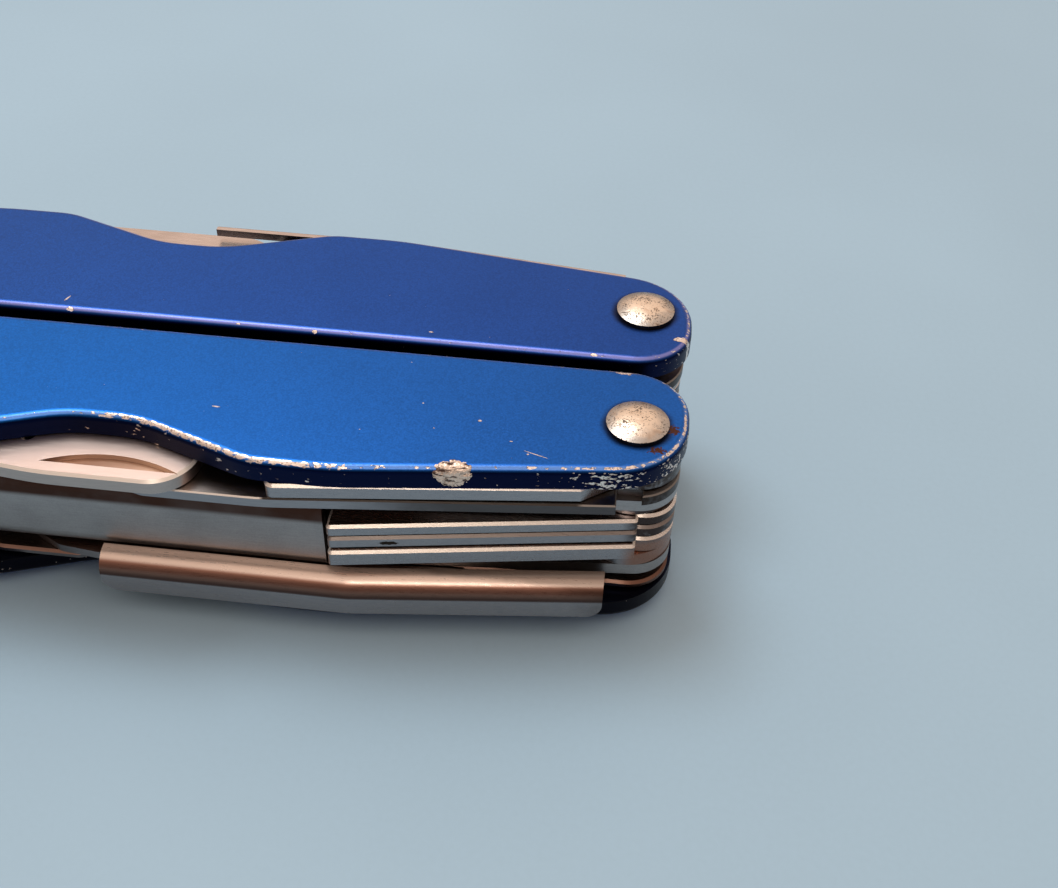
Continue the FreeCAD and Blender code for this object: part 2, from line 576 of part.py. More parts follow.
def roll_over(body, side, top, wall, radius):
    """Round the long outer edges along the top of a thumb wall."""
    height = value(top)
    inner_face = value(f"Layout.lever_out - {wall} + Sizes.layer_gap")

    def outer_edge(edge):
        box = edge.BoundBox
        on_top = abs(box.ZMin - height) < SAME
        return on_top and box.XLength > LONG_EDGE and side * box.Center.y > inner_face
    dress(body, "Fillet", radius, outer_edge)


def scissor_lever():
    """The moving half: a blade over the fixed one and a folded thumb lever along the outside."""
    boss = "Sizes.scissor_pivot_reach"
    tip = "Sizes.scissor_pivot_reach + Sizes.scissor_blade_length"
    lever_in = "Layout.lever_out - Sizes.lever_depth"
    heel = thumb_heel("Sizes.lever_start")
    corners = [(tip, "Layout.scissor_pivot_out - Sizes.scissor_tip", None),
               (f"{boss} + Sizes.scissor_boss", "Layout.scissor_pivot_out - Sizes.scissor_boss",
                "Sizes.heel_radius"),
               (f"{boss} - Sizes.scissor_boss", "Layout.scissor_pivot_out - Sizes.scissor_boss",
                "Sizes.heel_radius"),
               (f"{boss} - 3 * Sizes.scissor_boss", lever_in, "Sizes.heel_radius"),
               ("Sizes.lever_kink", lever_in, "Sizes.heel_radius"),
               ("Sizes.lever_start", f"{heel} - Sizes.lever_depth / 2", None),
               ("Sizes.lever_start", heel, None),
               ("Sizes.lever_kink", "Layout.lever_out", "Sizes.shoulder_radius"),
               ("Sizes.lever_reach", "Layout.lever_out", None),
               ("Sizes.lever_reach", "Layout.lever_out - Sizes.lever_roll_wall", None),
               (f"{boss} - Sizes.scissor_boss / 2", "Layout.scissor_pivot_out + Sizes.scissor_boss",
                "Sizes.heel_radius"),
               (f"{boss} + Sizes.scissor_boss", "Layout.scissor_pivot_out + Sizes.scissor_tip",
                "Sizes.heel_radius")]
    body = plate("scissor_lever", "Layout.scissor_upper", "Sizes.scissor_thickness",
                 from_pivot(TOOL_END, FRONT, corners), [scissor_hole()])
    foot = "Layout.lever_bottom - Layout.scissor_upper"
    top = "Sizes.lever_top - Layout.scissor_upper"
    ends = ("Sizes.lever_start", "Sizes.lever_reach")
    thumb_wall(body, FRONT, "Sizes.lever_wall", *ends, foot, top)
    thumb_wall(body, FRONT, "Sizes.lever_roll_wall", *ends, "0", top)
    roll_over(body, FRONT, top, "Sizes.lever_roll_wall", "Sizes.lever_bend")
    foot_level = value(foot)
    ends_x = [value(f"Layout.rivet_x - {reach}") for reach in ends]

    def foot_corner(edge):
        box = edge.BoundBox
        at_end = any(abs(box.XMin - x) < SAME and abs(box.XMax - x) < SAME for x in ends_x)
        return at_end and abs(box.ZMax - foot_level) < SAME
    dress(body, "Fillet", "Sizes.lever_corner", foot_corner)


def flush_pin(name, x, y, bottom, height, radius):
    """A pin whose ends are level with the faces that it holds together."""
    body = start_body(name, bottom)
    sketch = new_sketch(body)
    draw_circle(sketch, x, y, radius)
    pad(body, sketch, height)
    dress(body, "Chamfer", "Sizes.tool_edge", lambda edge: edge.BoundBox.ZLength < SAME)


def scissor_screw():
    x, y, _ = scissor_hole()
    flush_pin("scissor_screw", x, y, "Layout.lower_tool",
              "2 * Sizes.scissor_thickness + Sizes.scissor_gap", "Sizes.scissor_pin_radius")


def scissor_spring():
    """The leaf that pushes the lever open, rooted on the edge of the fixed half."""
    root = "Layout.scissor_base_out + Sizes.layer_gap"
    corners = [("Sizes.leaf_root", root, None),
               ("Sizes.leaf_root + Sizes.leaf_root_length", root, None),
               ("Sizes.leaf_tip", f"{root} + Sizes.leaf_lift", None),
               ("Sizes.leaf_tip", f"{root} + Sizes.leaf_lift + Sizes.leaf_thickness", None),
               ("Sizes.leaf_root", f"{root} + Sizes.leaf_thickness", None)]
    plate("scissor_spring", "Layout.lower_tool", "Sizes.scissor_thickness",
          from_pivot(TOOL_END, FRONT, corners))


# ---- tools on the back handle ----

def cut_teeth(body, corners, thickness, pitch, count, end):
    """One notch through the piece, repeated along it."""
    notch = cut_outline(body, corners, thickness, thickness)
    row = body.newObject("PartDesign::LinearPattern", "Teeth")
    row.Originals = [notch]
    row.Direction = (notch.Profile[0], ["H_Axis"])
    row.Reversed = end == TOOL_END
    row.setExpression("Length", f"{pitch} * ({count} - 1)")
    row.setExpression("Occurrences", count)
    body.Tip = row
    doc.recompute()


def wood_saw():
    end, side = PLIER_END, BACK
    corners = [("Sizes.saw_reach", "Layout.saw_out", "Sizes.opener_nose_radius"),
               ("Sizes.saw_reach", "Layout.saw_edge_in", "Sizes.heel_radius"),
               ("Sizes.saw_edge_start", "Layout.saw_edge_in", "Sizes.heel_radius"),
               ("Sizes.tang_waist", "Layout.tang_in", "Sizes.heel_radius"), *reversed(tang_corners()),
               ("Sizes.tang_neck", "Layout.tang_out", "Sizes.heel_radius"),
               ("Sizes.saw_heel", "Layout.saw_out", "Sizes.shoulder_blend")]
    body = plate("wood_saw", "Layout.upper_tool", "Sizes.upper_tool_thickness",
                 from_pivot(end, side, corners), [rivet_hole(end, side)], "Sizes.tool_edge")
    outside = "Layout.saw_edge_in - Sizes.cut_allowance"
    tooth = [("Sizes.saw_teeth_start", outside, None),
             ("Sizes.saw_teeth_start + Sizes.saw_tooth_pitch", outside, None),
             ("Sizes.saw_teeth_start + Sizes.saw_tooth_rake * Sizes.saw_tooth_pitch",
              "Layout.saw_edge_in + Sizes.saw_tooth_depth", None)]
    cut_teeth(body, from_pivot(end, side, tooth), "Sizes.upper_tool_thickness",
              "Sizes.saw_tooth_pitch", "Sizes.saw_teeth", end)


def can_opener():
    """Can opener whose outer edge is folded up into a long thumb bar beside the upper scale."""
    end, side = TOOL_END, BACK
    corners = [("Sizes.can_reach", "Layout.lever_out", None),
               ("Sizes.lever_kink", "Layout.lever_out", "Sizes.shoulder_radius"),
               ("Sizes.thumb_start", thumb_heel("Sizes.thumb_start"), None),
               ("Sizes.thumb_start - Sizes.tang_step", "Layout.tang_out", None), *tang_corners(),
               ("Sizes.tang_waist", "Layout.tang_in", "Sizes.heel_radius"),
               ("Sizes.can_beak_reach - Sizes.can_beak_span", "Layout.can_tip_in", "Sizes.heel_radius"),
               ("Sizes.can_beak_reach", "Layout.can_tip_in - Sizes.can_beak_depth",
                "Sizes.corner_radius"),
               ("Sizes.can_reach", "Layout.can_corner_in", "Sizes.corner_radius")]
    body = plate("can_opener", "Layout.upper_tool", "Sizes.upper_tool_thickness",
                 from_pivot(end, side, corners), [rivet_hole(end, side)], "Sizes.tool_edge")
    top = "Layout.thumb_top - Layout.upper_tool"
    bar_foot = "Layout.thumb_top - Layout.upper_tool - Sizes.thumb_bar"
    for reach, bottom in (("Sizes.can_reach", "0"), ("Sizes.thumb_reach", bar_foot)):
        thumb_wall(body, side, "Sizes.lever_wall", "Sizes.thumb_start", reach, bottom, top)
    roll_over(body, side, top, "Sizes.lever_wall", "Sizes.thumb_roll")


def knife_blade():
    end, side = TOOL_END, BACK
    corners = [("Sizes.knife_reach", "Layout.knife_point_out", "Sizes.corner_radius"),
               ("Sizes.knife_drop", "Layout.knife_spine_out", "Sizes.shoulder_blend"),
               ("Sizes.web_end + Sizes.knife_heel", "Layout.knife_spine_out", "Sizes.shoulder_blend"),
               ("Sizes.knife_shoulder", "Layout.tang_out", None), *tang_corners(),
               ("Sizes.tang_waist", "Layout.tang_in", "Sizes.heel_radius"),
               ("Sizes.knife_heel", "Layout.knife_belly_in + Sizes.knife_choil", "Sizes.heel_radius"),
               ("Sizes.knife_heel + Sizes.knife_choil", "Layout.knife_belly_in", None),
               ("Sizes.knife_drop", "Layout.knife_belly_in", None)]
    body = plate("knife_blade", "Layout.lower_tool", "Sizes.knife_thickness",
                 from_pivot(end, side, corners), [rivet_hole(end, side)])
    edge_y = value("Layout.knife_belly_in")
    point_y = value("Layout.knife_point_out")
    heel_x = value("Layout.rivet_x - Sizes.knife_heel - Sizes.knife_choil")

    def belly(edge):
        box = edge.BoundBox
        cutting = box.XMax < heel_x + SAME and box.YMin > edge_y - SAME and box.YMax < point_y + SAME
        return box.ZLength < SAME and cutting and box.XLength > LONG_EDGE
    dress(body, "Chamfer", "(Sizes.knife_thickness - Sizes.knife_edge_flat) / 2", belly)


def back_inner_tools():
    body = inner_tool("metal_file", BACK, "Layout.inner_high", "Sizes.medium_driver_thickness",
                      straight_tip("Sizes.file_width"))
    groove_in = "Layout.inner_out - Sizes.file_width - Sizes.cut_allowance"
    row_length = "Sizes.file_groove_pitch * (Sizes.file_grooves - 1)"
    start = f"Sizes.inner_reach - Sizes.file_margin - {row_length}"
    groove = [(start, groove_in, None), (f"{start} - Sizes.file_groove_width", groove_in, None),
              (f"{start} - Sizes.file_groove_width", "Layout.inner_out + Sizes.cut_allowance", None),
              (start, "Layout.inner_out + Sizes.cut_allowance", None)]
    cut = cut_outline(body, from_pivot(TOOL_END, BACK, groove), "Sizes.medium_driver_thickness",
                      "Sizes.file_groove_depth")
    row = body.newObject("PartDesign::LinearPattern", "Grooves")
    row.Originals = [cut]
    row.Direction = (cut.Profile[0], ["H_Axis"])
    row.Reversed = True
    row.setExpression("Length", row_length)
    row.setExpression("Occurrences", "Sizes.file_grooves")
    body.Tip = row
    inner_tool("awl", BACK, "Layout.inner_low", "Sizes.small_driver_thickness",
               pointed_tip("Sizes.awl_width", "Sizes.awl_point", "Sizes.awl_taper"))


def lanyard_loop():
    end, side = TOOL_END, BACK
    rim = "(Sizes.loop_eye_radius + Sizes.loop_rim)"
    corners = [*tang_corners(),
               ("Sizes.loop_reach", f"Layout.rivet_out - {rim}", "Sizes.tang_corner"),
               ("Sizes.loop_reach", f"Layout.rivet_out + {rim}", "Sizes.tang_corner")]
    eye_x = f"Layout.rivet_x - Sizes.loop_reach + {rim}"
    plate("lanyard_loop", "Layout.inner_mid", "Sizes.phillips_thickness",
          from_pivot(end, side, corners),
          [rivet_hole(end, side), (eye_x, "Layout.rivet_out", "Sizes.loop_eye_radius")],
          "Sizes.tool_edge")


# ---- pliers ----

def jaw(name, side, own_half, lap_top):
    """One half of the pliers: its tang on one handle, its nose across the centre plane."""
    joint = "Sizes.joint_reach"
    body = start_body(name, "Layout.jaw_bottom")
    tang = [*reversed(tang_corners()),
            ("Sizes.tang_neck", "Layout.tang_out", "Sizes.heel_radius"),
            (f"{joint} - Sizes.joint_half_span", "Sizes.joint_out", None),
            (f"{joint} - Sizes.joint_half_span", "Sizes.jaw_tang_gap / 2", None),
            ("Sizes.tang_waist", "Sizes.jaw_tang_gap / 2", "Sizes.heel_radius")]
    sketch = new_sketch(body)
    draw_outline(sketch, from_pivot(PLIER_END, side, tang))
    pad(body, sketch, "Layout.jaw_height")
    sketch = new_sketch(body, height=own_half)
    draw_circle(sketch, "Layout.joint_x", "0", "Sizes.joint_radius")
    pad(body, sketch, "Layout.lap_height")
    face = "Sizes.jaw_gap / 2"
    nose = [(f"{joint} + Sizes.joint_half_span", face, None), ("Sizes.jaw_reach", face, None),
            ("Sizes.jaw_reach", "Sizes.jaw_tip_width", "2 * Sizes.corner_radius"),
            ("Sizes.jaw_mid_reach", "Sizes.jaw_mid_width", "Sizes.shoulder_blend"),
            (f"{joint} + Sizes.joint_half_span", "Sizes.joint_out", None)]
    sketch = new_sketch(body)
    draw_outline(sketch, from_pivot(PLIER_END, -side, nose))
    pad(body, sketch, "Layout.jaw_height")
    sketch = new_sketch(body, height=lap_top)
    draw_circle(sketch, "Layout.joint_x", "0", "Sizes.joint_radius + Sizes.joint_clearance")
    pocket(body, sketch, "Layout.lap_height + Sizes.lap_gap")
    for hole in (rivet_hole(PLIER_END, side),
                 ("Layout.joint_x", "0", "Sizes.pliers_pin_radius + Sizes.running_clearance")):
        sketch = new_sketch(body, height="Layout.jaw_height")
        draw_circle(sketch, *hole)
        pocket(body, sketch, "Layout.jaw_height")
    for z_face, z_tip in (("0", "(Layout.jaw_height - Sizes.jaw_tip_height) / 2"),
                          ("Layout.jaw_height", "(Layout.jaw_height + Sizes.jaw_tip_height) / 2")):
        wedge = [("Sizes.jaw_taper_start - Layout.rivet_x", z_face, None),
                 ("Sizes.jaw_reach + Sizes.cut_allowance - Layout.rivet_x", z_face, None),
                 ("Sizes.jaw_reach + Sizes.cut_allowance - Layout.rivet_x", z_tip, None)]
        sketch = new_sketch(body, "XZ_Plane")
        draw_outline(sketch, wedge)
        before = body.Shape.Volume
        cut = body.newObject("PartDesign::Pocket", "Taper")
        cut.Profile = sketch
        cut.Midplane = True
        cut.setExpression("Length", "4 * Sizes.jaw_mid_width")
        doc.recompute()
        if body.Shape.Volume > before - SAME:
            raise RuntimeError(f"{name}: the taper cuts nothing")
    for start, stop, depth in (("Sizes.grip_start", "Sizes.grip_end", "Sizes.grip_depth"),
                               ("Sizes.cutter_start", "Sizes.cutter_end", "Sizes.cutter_depth")):
        hollow = [(start, "0", None), (stop, "0", None),
                  (f"({start} + {stop}) / 2", depth, "Sizes.corner_radius")]
        cut_outline(body, from_pivot(PLIER_END, -side, hollow), "Layout.jaw_height",
                    "Layout.jaw_height")
    tooth = [("Sizes.tooth_start", "0", None), ("Sizes.tooth_start + Sizes.tooth_pitch", "0", None),
             ("Sizes.tooth_start + Sizes.tooth_pitch / 2", "Sizes.tooth_depth", None)]
    cut_teeth(body, from_pivot(PLIER_END, -side, tooth), "Layout.jaw_height", "Sizes.tooth_pitch",
              "Sizes.tooth_count", PLIER_END)


handle("front", FRONT)
handle("back", BACK)
bottle_opener()
large_screwdriver()
front_inner_tools()
scissor_base()
scissor_lever()
scissor_screw()
scissor_spring()
wood_saw()
can_opener()
knife_blade()
back_inner_tools()
lanyard_loop()
upper_half = "Layout.lap_height + Sizes.lap_gap"
jaw("jaw_front", FRONT, "0", "Layout.jaw_height")
jaw("jaw_back", BACK, upper_half, upper_half)
flush_pin("pliers_rivet", "Layout.joint_x", "0", "Layout.jaw_bottom", "Layout.jaw_height",
          "Sizes.pliers_pin_radius")

doc.recompute()
for item in doc.Objects:
    if {"Invalid", "Error"} & set(item.State):
        raise RuntimeError(f"{item.Name} ({item.Label}) did not build: {item.State}")
os.makedirs("parts", exist_ok=True)
for piece in pieces:
    if piece.Shape.isNull() or not piece.Shape.isValid():
        raise RuntimeError(f"{piece.Label} has no valid shape")
    piece.Shape.exportStep(f"parts/{piece.Label}.step")
    print(piece.Label, len(piece.Shape.Solids), round(piece.Shape.Volume, 2))
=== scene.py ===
# Folding pocket multi-tool: finishes, small wear, floor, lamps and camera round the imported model.
# The model's own frame: +X to the tool end, +Y to the back handle, +Z up. Lamps, floor and camera are in
# metres. Sizes and places of patterns and of the gouge are in millimetres along the same axes.
import math

import bpy
import numpy as np
from mathutils import Matrix, Vector


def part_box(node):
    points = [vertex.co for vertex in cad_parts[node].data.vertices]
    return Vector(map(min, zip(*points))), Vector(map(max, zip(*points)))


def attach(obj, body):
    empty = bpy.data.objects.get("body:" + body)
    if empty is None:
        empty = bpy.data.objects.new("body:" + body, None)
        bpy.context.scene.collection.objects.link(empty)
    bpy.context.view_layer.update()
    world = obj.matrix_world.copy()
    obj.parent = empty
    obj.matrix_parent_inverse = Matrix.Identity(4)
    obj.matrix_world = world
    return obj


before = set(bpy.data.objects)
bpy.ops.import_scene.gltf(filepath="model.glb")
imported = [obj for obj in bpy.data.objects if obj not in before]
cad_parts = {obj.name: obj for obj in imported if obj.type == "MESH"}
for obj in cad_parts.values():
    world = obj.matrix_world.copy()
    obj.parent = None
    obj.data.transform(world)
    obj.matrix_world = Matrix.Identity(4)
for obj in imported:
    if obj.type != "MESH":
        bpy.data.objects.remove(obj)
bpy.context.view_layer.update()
mm = 0.001
print("frame loaded:", len(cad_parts), "nodes")


class Wire:
    # One output socket. Arithmetic on it adds Math nodes to its finish.
    def __init__(self, finish, socket):
        self.finish, self.socket = finish, socket

    def math(self, operation, first, second=0.0):
        return self.finish.node("Math", {"operation": operation}, {0: first, 1: second})

    def __add__(self, other):
        return self.math("ADD", self, other)

    def __radd__(self, other):
        return self.math("ADD", other, self)

    def __sub__(self, other):
        return self.math("SUBTRACT", self, other)

    def __rsub__(self, other):
        return self.math("SUBTRACT", other, self)

    def __mul__(self, other):
        return self.math("MULTIPLY", self, other)

    def __truediv__(self, other):
        return self.math("DIVIDE", self, other)

    def __pow__(self, other):
        return self.math("POWER", self, other)

    def __abs__(self):
        return self.math("ABSOLUTE", self)

    def __or__(self, other):
        return self.math("MAXIMUM", self, other)


class Finish:
    # One procedural material. Patterns are laid out in millimetres on Object coordinates.
    def __init__(self, name, metallic=1.0, roughness=0.35):
        self.material = bpy.data.materials.new(name)
        self.material.use_nodes = True
        self.tree = self.material.node_tree
        self.shader = self.tree.nodes["Principled BSDF"]
        self.shader.inputs["Metallic"].default_value = metallic
        self.shader.inputs["Roughness"].default_value = roughness
        spot = self.node("TexCoord", {}, {}, "Object")
        self.place = self.node("VectorMath", {"operation": "SCALE"}, {0: spot, "Scale": 1 / mm})
        self.x, self.y, self.z = (self.node("SeparateXYZ", {}, {0: self.place}, axis) for axis in "XYZ")
        facing = self.node("TexCoord", {}, {}, "Normal")
        self.level = abs(self.node("SeparateXYZ", {}, {0: facing}, "Z"))  # 1 on flat tops, 0 on upright walls

    def node(self, kind, settings, inputs, output=0):
        # a node of that kind: its settings are set first, then its sockets get values or links
        made = self.tree.nodes.new("ShaderNode" + kind)
        for key, setting in settings.items():
            setattr(made, key, setting)
        for key, given in inputs.items():
            if isinstance(given, Wire):
                self.tree.links.new(given.socket, made.inputs[key])
            else:
                made.inputs[key].default_value = given
        return Wire(self, made.outputs[output])

    def noise(self, size, detail=3.0, stretch=(1, 1, 1), shift=0.0):
        # soft noise from 0 to 1, with features about `size` across, longer where stretch is larger
        scale = tuple(1 / s for s in stretch)
        laid = self.node("Mapping", {}, {0: self.place, "Location": (shift, shift, shift), "Scale": scale})
        return self.node("TexNoise", {}, {"Vector": laid, "Scale": 1 / size, "Detail": detail}, "Fac")

    def ramp(self, given, low, high):
        # 0 below low, 1 above high, smooth between
        edges = {"Value": given, "From Min": low, "From Max": high}
        return self.node("MapRange", {"interpolation_type": "SMOOTHSTEP"}, edges)

    def band(self, given, low, high, top, out):
        # 0 below low, 1 from high to top, 0 again above out
        return self.ramp(given, low, high) * (1 - self.ramp(given, top, out))

    def mix(self, mask, first, second):
        # colour first where the mask is 0, second where it is 1
        return self.node("Mix", {"data_type": "RGBA"}, {0: mask, 6: first, 7: second}, 2)

    def blot(self, x, y, across, along, turn=0.0, ragged=0.5, grain=0.4, upright=False):
        # a ragged patch at x, y (x, z on an upright face), with radii along and across, turned by degrees
        angle = math.radians(turn)
        aside, ahead = self.x - x, (self.z if upright else self.y) - y
        u = (aside * math.cos(angle) + ahead * math.sin(angle)) / along
        v = (ahead * math.cos(angle) - aside * math.sin(angle)) / across
        reach = (u * u + v * v) ** 0.5 + (self.noise(grain, 4) - 0.5) * (2 * ragged)
        return 1 - self.ramp(reach, 0.75, 1.0)

    def fromRivet(self):
        # distance from the axis of the nearest rivet
        return ((abs(self.x) - rivet["x"]) ** 2 + (abs(self.y) - rivet["y"]) ** 2) ** 0.5

    def set(self, **wires):
        names = {"colour": "Base Color", "metallic": "Metallic", "roughness": "Roughness", "normal": "Normal"}
        for key, wire in wires.items():
            self.tree.links.new(wire.socket, self.shader.inputs[names[key]])

    def relief(self, height, depth):
        # bump of that depth in millimetres, for a height from 0 to 1
        self.set(normal=self.node("Bump", {}, {"Strength": 1.0, "Distance": depth * mm, "Height": height}))


def colour(red, green, blue):
    return (red, green, blue, 1.0)


def dimmed(tint, share):
    return colour(*(channel * share for channel in tint[:3]))


def corners(node):
    # lowest and highest corner of a node, in millimetres
    return tuple(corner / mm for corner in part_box(node))


def middleOf(node):
    low, high = corners(node)
    return {"x": (low.x + high.x) / 2, "y": (low.y + high.y) / 2, "radius": (high.x - low.x) / 2}


rivet = middleOf("back_tool_rivet")  # the other three mirror it

scaleLook = {
    # the side colour is painted shade on the upright sides
    "side": colour(0.003, 0.007, 0.036), "bare": colour(0.92, 0.80, 0.72), "pit": colour(0.20, 0.13, 0.10),
    # the first colour on the next line is near-black grime and painted shade round the rivets, and painted
    # shade on the lower scales' inner faces
    "grimeAndShade": colour(0.008, 0.007, 0.010), "rust": colour(0.082, 0.030, 0.015), "shade": 0.80,
    "roughness": 0.38, "bump": 0.03, "grain": 0.13, "speckle": 0.27, "drift": 1.8, "cloud": 7.0,
    "pitSize": 0.16, "ringWidth": 0.6, "outerY": (9.0, 11.0), "tipX": (38.0, 40.0), "dyeX": (-30.0, 38.0),
    "sideLevel": (0.35, 0.72), "rimLevel": (0.62, 0.82, 0.90, 0.995),
    "crestLevel": (0.45, 0.68, 0.955, 0.998),
}
flakeLook = {  # how much each place adds to the flaking, and the sum at which the dye is gone
    "rim": 0.10, "crestLine": 0.30, "sideLine": 0.08, "end": 0.22, "sideShare": 0.82, "innerShare": 0.35,
    "drift": 0.42, "gone": (0.75, 0.79),
}
# chips and rust are (x, y, across, along) and scratches also end with a turn in degrees; line is where the
# flaking along the outer rim rises, is full, fades and ends, and end is where the tool end's own rises
# each set's rim colour is a painted highlight along the rounded rim
frontMarks = {
    "blue": [colour(0.012, 0.152, 0.56), colour(0.018, 0.125, 0.49)], "rim": colour(0.24, 0.46, 1.0),
    "chips": [(28.4, -13.9, 0.25, 0.55), (31.6, -13.6, 0.18, 0.45), (34.6, -13.0, 0.14, 0.35),
              (36.4, -0.95, 0.30, 0.8), (23.2, -13.75, 0.10, 0.35), (24.1, -13.55, 0.09, 0.3)],
    "scratches": [(7.77, -8.92, 0.08, 0.34, -3), (26.5, -7.84, 0.12, 0.15, 0), (22.23, -6.5, 0.07, 0.08, 0),
                  (28.95, -9.69, 0.06, 0.14, 0), (30.24, -10.85, 0.08, 0.10, 0),
                  (30.8, -10.8, 0.045, 1.0, -18), (23.42, -9.05, 0.06, 0.07, 0), (18.3, -9.9, 0.05, 0.06, 0)],
    "rust": [(40.15, -6.95, 0.50, 0.36), (39.1, -9.25, 0.36, 0.58)],
    "line": (-4.0, 3.5, 12.0, 25.5), "end": (27.0, 36.0), "wear": 1.0,
}
backMarks = {
    "blue": [colour(0.020, 0.100, 0.42), colour(0.022, 0.090, 0.40)], "rim": colour(0.40, 0.40, 0.85),
    "chips": [(-6.6, 0.85, 0.16, 0.3), (12.6, 0.8, 0.12, 0.25), (34.0, 0.9, 0.12, 0.3),
              (40.6, 3.6, 0.3, 0.8)],
    "scratches": [(-7.2, 2.0, 0.09, 0.42, 70), (21.42, 1.81, 0.09, 0.2, 0)], "rust": [],
    "line": (-30.0, -29.0, -28.0, -27.0), "end": (32.0, 39.0), "wear": 0.7,
}
# the under scales' rim colour is a painted highlight and their side colour is painted shade
underMarks = {
    "blue": frontMarks["blue"], "rim": colour(0.20, 0.13, 0.12), "side": colour(0.006, 0.006, 0.012),
    "chips": [(-20.0, 12.9, 0.3, 0.6)], "scratches": [(-8.0, 5.0, 0.08, 1.2, 30)], "rust": [],
    "line": (-20.0, -15.0, 15.0, 20.0), "end": (36.0, 44.0), "wear": 0.5, "shadedTopZ": (2.4, 2.5),
}


def flaked(finish, marks, rim, side, drift):
    # where the dye is gone: along the rim, round the tool end, and in single chips and scratches
    look, add = scaleLook, flakeLook
    speckle = finish.noise(look["speckle"], 5, stretch=(1.6, 1.0, 0.8))
    outer = finish.ramp(abs(finish.y), *look["outerY"])
    line = finish.band(finish.x, *marks["line"]) * outer
    inwards = add["innerShare"] + outer * (1 - add["innerShare"])
    toEnd = finish.ramp(finish.x, *marks["end"]) * (inwards | finish.ramp(finish.x, *look["tipX"]))
    crest = finish.band(finish.level, *look["crestLevel"])
    amount = rim * add["rim"] + crest * line * add["crestLine"] + side * line * add["sideLine"]
    amount = amount + (rim | side * add["sideShare"]) * toEnd * add["end"]
    uneven = (drift - 0.5) * add["drift"] * (rim | side)
    flakes = finish.ramp(speckle + amount * marks["wear"] + uneven, *add["gone"])
    for x, y, across, along in marks["chips"]:
        flakes = flakes | finish.blot(x, y, across, along, ragged=0.8, grain=0.3)
    for x, y, across, along, turn in marks["scratches"]:
        flakes = flakes | finish.blot(x, y, across, along, turn, ragged=0.3, grain=0.15) * 0.8
    return flakes, speckle


def anodised(name, marks):
    # satin dyed aluminium: fine blasted grain, a painted highlight on the rims, sides darkened to near-black
    # as painted shade, flaked bare along the worn edges
    look = scaleLook
    finish = Finish(name)
    side = 1 - finish.ramp(finish.level, *look["sideLevel"])
    rim = finish.band(finish.level, *look["rimLevel"])
    sparkle = finish.noise(look["grain"], 2, shift=2)
    drift = finish.noise(look["drift"], 3, shift=11)
    cloud = finish.noise(look["cloud"], 3, shift=5)
    flakes, speckle = flaked(finish, marks, rim, side, drift)

    left, right = marks["blue"]
    dye = finish.mix(finish.ramp(finish.x, *look["dyeX"]), left, right)
    shade = colour(look["shade"], look["shade"], look["shade"])
    deep = finish.node("Mix", {"data_type": "RGBA", "blend_type": "MULTIPLY"}, {0: 1.0, 6: dye, 7: shade}, 2)
    tone = finish.mix(finish.ramp(cloud * 0.25 + sparkle * 0.9, 0.38, 0.80), deep, dye)
    # a near-black ring round each rivet head, grime and painted shade
    toRivet = finish.fromRivet() + (drift - 0.5) * 0.5
    grimeShadeRing = 1 - finish.ramp(toRivet, rivet["radius"], rivet["radius"] + look["ringWidth"])
    tone = finish.mix(grimeShadeRing * 0.85, tone, look["grimeAndShade"])
    for x, y, across, along in marks["rust"]:
        stain = finish.blot(x, y, across, along, ragged=1.5, grain=0.2) * (0.6 + sparkle * 0.8)
        tone = finish.mix(stain, tone, look["rust"])
    # a painted highlight along the rounded rim
    tone = finish.mix(rim * 0.55, tone, marks["rim"])
    # upright sides darkened to near-black as painted shade
    tone = finish.mix(side, tone, marks.get("side", look["side"]))
    if "shadedTopZ" in marks:  # the lower scales' upper faces, darkened as painted shade under the parts above
        tone = finish.mix(finish.ramp(finish.z, *marks["shadedTopZ"]) * 0.96, tone, look["grimeAndShade"])
    pitted = finish.ramp(finish.noise(look["pitSize"], 4, shift=7), 0.52, 0.66)
    bare = finish.mix(pitted * 0.8, look["bare"], look["pit"])
    roughness = look["roughness"] + (sparkle - 0.5) * 0.2 - flakes * 0.06
    finish.set(colour=finish.mix(flakes, tone, bare), roughness=roughness)
    finish.relief(sparkle * 0.16 - flakes * (0.6 + speckle), look["bump"])
    return finish.material


steelLook = {
    # edge and crest are painted highlight colours, and the third colour is painted shade for upright walls
    "edge": colour(1.0, 0.90, 0.80), "crest": colour(1.0, 0.80, 0.68), "cut": colour(0.32, 0.31, 0.325),
    "tarnish": colour(0.17, 0.085, 0.045), "stain": colour(0.34, 0.165, 0.11),
    # the two colours on the next line are painted shade, high on the knuckle walls and on shadowed bevels and
    # in recesses; the second also marks pits
    "knuckleShade": colour(0.060, 0.042, 0.038), "crease": colour(0.030, 0.019, 0.013),
    # the fold colours paint the shading of a rolled edge as it turns down
    "fold": [colour(0.070, 0.031, 0.021), colour(0.40, 0.195, 0.135)],
    "shade": 0.80, "hatch": 0.09, "cloud": 2.6, "freckle": 0.30, "bump": 0.004,
    "wallLevel": (0.10, 0.35), "bevelLevel": (0.40, 0.60, 0.84, 0.96), "foldLevel": (0.02, 0.12, 0.66, 0.82),
    "foldBrowns": (0.10, 0.72), "crestLevel": (0.70, 0.86), "crestZ": (4.3, 4.5),
    "knuckleX": (37.0, 38.4), "knuckleZ": (7.2, 8.4),
}


def rolledEdge(finish, tone, ground):
    # a folded edge: a painted highlight where it starts, then painted shade, browner and darker, as it turns
    # down
    look = steelLook
    bottom, top = look["fold"]
    brown = finish.mix(finish.ramp(finish.level + (ground - 0.5) * 0.15, *look["foldBrowns"]), bottom, top)
    tone = finish.mix(finish.band(finish.level, *look["foldLevel"]) * 0.95, tone, brown)
    crest = finish.ramp(finish.level, *look["crestLevel"]) * finish.ramp(finish.z, *look["crestZ"])
    return finish.mix(crest * 0.8, tone, look["crest"]), 1 - crest * 0.4


